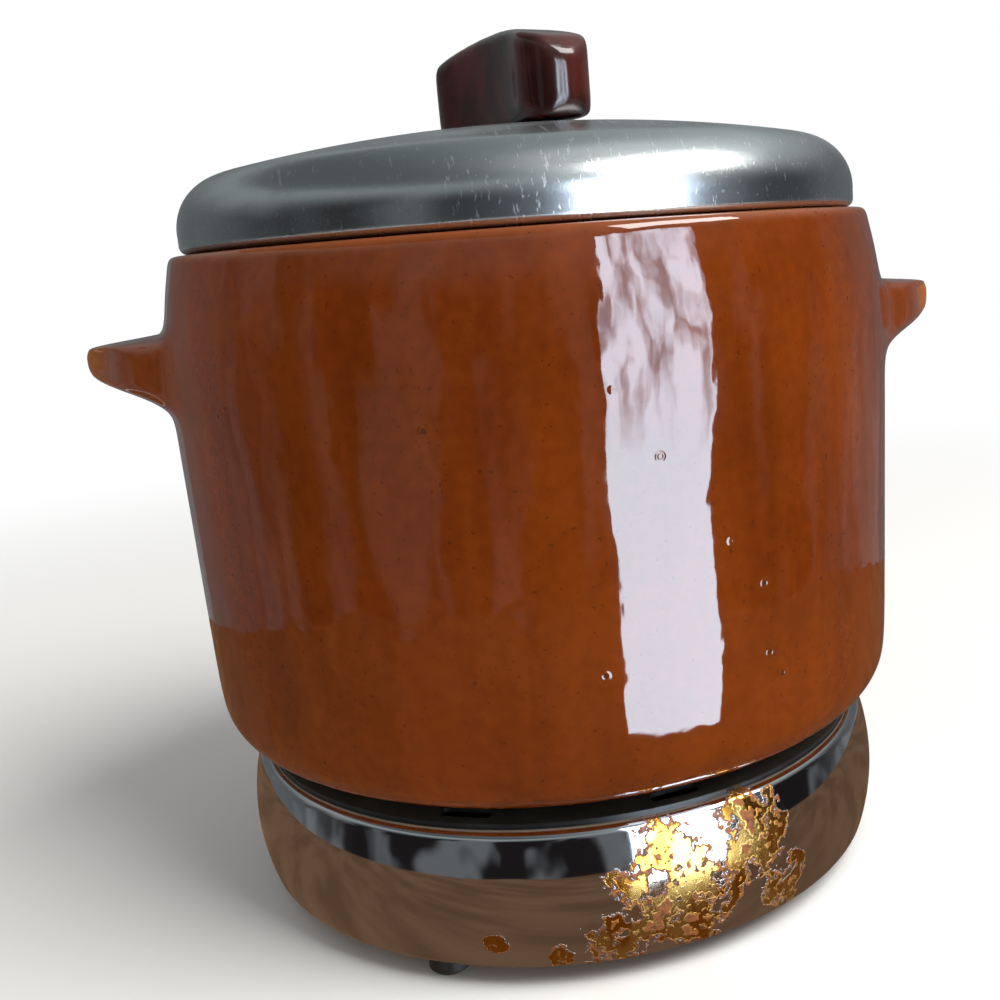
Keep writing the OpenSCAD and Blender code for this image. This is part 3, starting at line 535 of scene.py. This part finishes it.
# The knob is a bar of dark red-brown phenolic, moulded with a waist for the fingers.
# It is held from inside the lid by one screw into a threaded insert.
knob = softened("knob_bar", "lid_knob", 0.45 * MM, 70)
phenolic, tree, shader = finish("maroon_phenolic", rgb(0.05, 0.012, 0.009), roughness=0.16, coat=0.3)
shader.inputs["Coat Roughness"].default_value = 0.06
place = place_on(tree)
swirl = noise(place_on(tree, (1, 1, 0.5)), 9, 4.0)
dust = noise(place, 0.8, 2.0)
scuff = noise(place_on(tree, (0.2, 1, 1)), 2.4, 3.0).ramp(0.6, 0.75)
colour = blend_colour(swirl.ramp(0.35, 0.7), rgb(0.020, 0.006, 0.005), rgb(0.070, 0.014, 0.010))
feed(tree, shader, Base_Color=colour, Roughness=swirl * 0.08 + scuff * 0.2 + 0.1)
feed(tree, shader, Normal=bump(noise(place, 7, 1.0) * 0.6 + dust * 0.02, 0.25))
knob.data.materials.append(phenolic)
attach(knob, "lid")
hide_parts("lid_knob")

# The base's shell is drawn steel, chromed. Its side bulges, its top turns over to a narrow lip that
# carries the deck, and its lower edge turns in. Boiled-over food has burnt on to it in brown stains.
shell_low, shell_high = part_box("base_shell")
shell_r = shell_high.x
shell_t = 0.9 * MM
belly_curve = 48 * MM
belly = (shell_r - belly_curve, shell_low.z + 15 * MM)
hem_r = 1.6 * MM
top_r = 3 * MM
hem_drop = shell_low.z + hem_r - belly[1]
top_rise = shell_high.z - top_r - belly[1]
hem_middle = belly[0] + math.sqrt((belly_curve - hem_r) ** 2 - hem_drop ** 2)
lip_middle = belly[0] + math.sqrt((belly_curve - top_r) ** 2 - top_rise ** 2)
hem_turn = math.degrees(math.asin(hem_drop / (belly_curve - hem_r)))
top_turn = math.degrees(math.asin(top_rise / (belly_curve - top_r)))
shell_path = [(hem_middle - 9.5 * MM, shell_low.z)]
shell_path += arc((hem_middle, shell_low.z + hem_r), hem_r, -90, hem_turn, 10)
shell_path += arc(belly, belly_curve, hem_turn + 2, top_turn - 2, 20)
shell_path += arc((lip_middle, shell_high.z - top_r), top_r, top_turn, 90, 12)
shell_path += [(lip_middle - 1.6 * MM, shell_high.z)]
shell = turned("base_shell_chrome", bent_sheet(shell_path, shell_t), 192)

guard_low, guard_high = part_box("inlet_guard")
opening_play = 0.5 * MM
opening_w = 30 * MM
bpy.ops.object.select_all(action="DESELECT")
bpy.ops.mesh.primitive_cube_add(size=1, location=(0, shell_r, (guard_low.z + guard_high.z) / 2))
cutter = bpy.context.object
cutter.scale = (opening_w, 30 * MM, guard_high.z - guard_low.z + 2 * opening_play)
bpy.context.view_layer.objects.active = shell
cut = shell.modifiers.new("cut", "BOOLEAN")
cut.object = cutter
cut.operation = "DIFFERENCE"
bpy.ops.object.modifier_apply(modifier="cut")
bpy.data.objects.remove(cutter)
bpy.ops.object.select_all(action="DESELECT")
shell.select_set(True)
bpy.ops.object.shade_smooth_by_angle(angle=math.radians(35))

chrome, tree, shader = finish("stained_chrome", rgb(0.72, 0.72, 0.73), metallic=1.0, roughness=0.05)
place = place_on(tree)


def near(place, angle, height, reach):
    """1 at a place on the shell's front, given by its angle from -Y towards +X, and 0 beyond reach (mm)."""
    turn = math.radians(angle)
    middle = (shell_r / MM * math.sin(turn), -shell_r / MM * math.cos(turn), height)
    offset = make(place.tree, "ShaderNodeVectorMath", {"operation": "SUBTRACT"}, {0: place, 1: middle})
    away = make(place.tree, "ShaderNodeVectorMath", {"operation": "LENGTH"}, {0: offset}, out=1)
    return away.ramp(reach, reach * 0.35)


flakes = noise(place, 5.5, 6.0)
fine = noise(place, 1.6, 4.0)
drips = noise(place_on(tree, (1, 1, 0.3)), 4.5, 5.0)
burnt_places = [(9, 20, 25), (22, 27, 17), (0, 10, 14), (-9, 7, 6), (29, 13, 12), (-19, 12, 5)]
burnt = near(place, *burnt_places[0])
for spot_angle, spot_z, reach in burnt_places[1:]:
    burnt = burnt.most(near(place, spot_angle, spot_z, reach))
burn = burnt * 0.24 + flakes * 0.62 + fine * 0.22
reach = burnt.ramp(0.02, 0.3)
film = burn.ramp(0.595, 0.625) * reach
rind = (burn.ramp(0.585, 0.60) * burn.ramp(0.635, 0.615)).most(burn.ramp(0.70, 0.74)) * reach
halo = (burnt * 0.26 + drips * 0.7).ramp(0.50, 0.66) * burnt.ramp(0.0, 0.4)
stray = noise(place, 3.2, 5.0).ramp(0.735, 0.77)
crust = rind.most(stray * 0.8)
colour = blend_colour(halo * 0.5, rgb(0.66, 0.66, 0.67), rgb(0.62, 0.46, 0.26))
film_colour = blend_colour(drips.ramp(0.4, 0.6), rgb(0.62, 0.27, 0.04), rgb(0.80, 0.52, 0.16))
colour = blend_colour(film, colour, film_colour)
crust_colour = blend_colour(fine.ramp(0.35, 0.65), rgb(0.10, 0.024, 0.004), rgb(0.30, 0.085, 0.012))
colour = blend_colour(crust, colour, crust_colour)
haze = noise(place, 14, 3.0)
feed(tree, shader, Base_Color=colour, Metallic=1.0 - crust * 0.8,
     Roughness=haze * 0.05 + halo * 0.08 + film * 0.12 + crust * 0.3 + 0.03)
dings = noise(place, 20, 1.0) * 0.35 + film * 0.08 + crust * 0.12 + fine * crust * 0.15
feed(tree, shader, Normal=bump(dings, 0.4))
shell.data.materials.append(chrome)
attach(shell, "base")
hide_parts("base_shell")


# The rest of the base and the small parts keep their CAD shape. Each is finished as its stock is:
# enamelled or plated sheet, turned brass, mica board, glazed porcelain, moulded feet.
def stock_finish(slot, dark, light, metallic, roughness, grain, depth):
    """A finish whose colour, sheen and surface vary from dark to light in grains of a few millimetres."""
    material, tree, shader = finish(slot, light, metallic, roughness)
    place = place_on(tree)
    cloud = noise(place, grain * 6, 3.0)
    fine = noise(place, grain, 3.0)
    mix = (cloud * 0.7 + fine * 0.3).ramp(0.32, 0.68)
    feed(tree, shader, Base_Color=blend_colour(mix, dark, light), Roughness=(cloud - 0.5) * 0.2 + roughness)
    feed(tree, shader, Normal=bump(cloud * 0.4 + fine * 0.6, depth))
    return material


stock = {
    "black_enamel": (rgb(0.010, 0.010, 0.010), rgb(0.026, 0.025, 0.024), 0.0, 0.34, 1.2, 0.05),
    "plate_iron": (rgb(0.07, 0.055, 0.05), rgb(0.19, 0.18, 0.18), 0.8, 0.42, 2.5, 0.06),
    "mica": (rgb(0.48, 0.42, 0.30), rgb(0.66, 0.61, 0.47), 0.0, 0.45, 1.6, 0.04),
    "ribbon": (rgb(0.24, 0.21, 0.20), rgb(0.42, 0.38, 0.35), 0.9, 0.4, 1.0, 0.02),
    "steel": (rgb(0.40, 0.39, 0.38), rgb(0.58, 0.58, 0.58), 1.0, 0.3, 0.8, 0.02),
    "shield_metal": (rgb(0.60, 0.60, 0.60), rgb(0.78, 0.78, 0.79), 1.0, 0.25, 3.0, 0.03),
    "cover_steel": (rgb(0.30, 0.28, 0.25), rgb(0.50, 0.50, 0.49), 1.0, 0.38, 2.0, 0.04),
    "brass": (rgb(0.42, 0.28, 0.10), rgb(0.66, 0.49, 0.22), 1.0, 0.28, 0.8, 0.02),
    "porcelain": (rgb(0.66, 0.61, 0.52), rgb(0.82, 0.79, 0.72), 0.0, 0.15, 4.0, 0.05),
    "wire_cover": (rgb(0.28, 0.25, 0.20), rgb(0.46, 0.43, 0.37), 0.0, 0.85, 0.5, 0.10),
    "pin_nickel": (rgb(0.48, 0.46, 0.42), rgb(0.68, 0.66, 0.62), 1.0, 0.2, 1.2, 0.02),
    "foot_plastic": (rgb(0.018, 0.016, 0.015), rgb(0.045, 0.042, 0.040), 0.0, 0.5, 1.2, 0.05),
}
finishes = {slot: stock_finish(slot, *settings) for slot, settings in stock.items()}
for part in frame["record"]["subparts"]:
    if part["material_slot"] in finishes:
        mesh = nodes[part["node"]].data
        mesh.materials.clear()
        mesh.materials.append(finishes[part["material_slot"]])
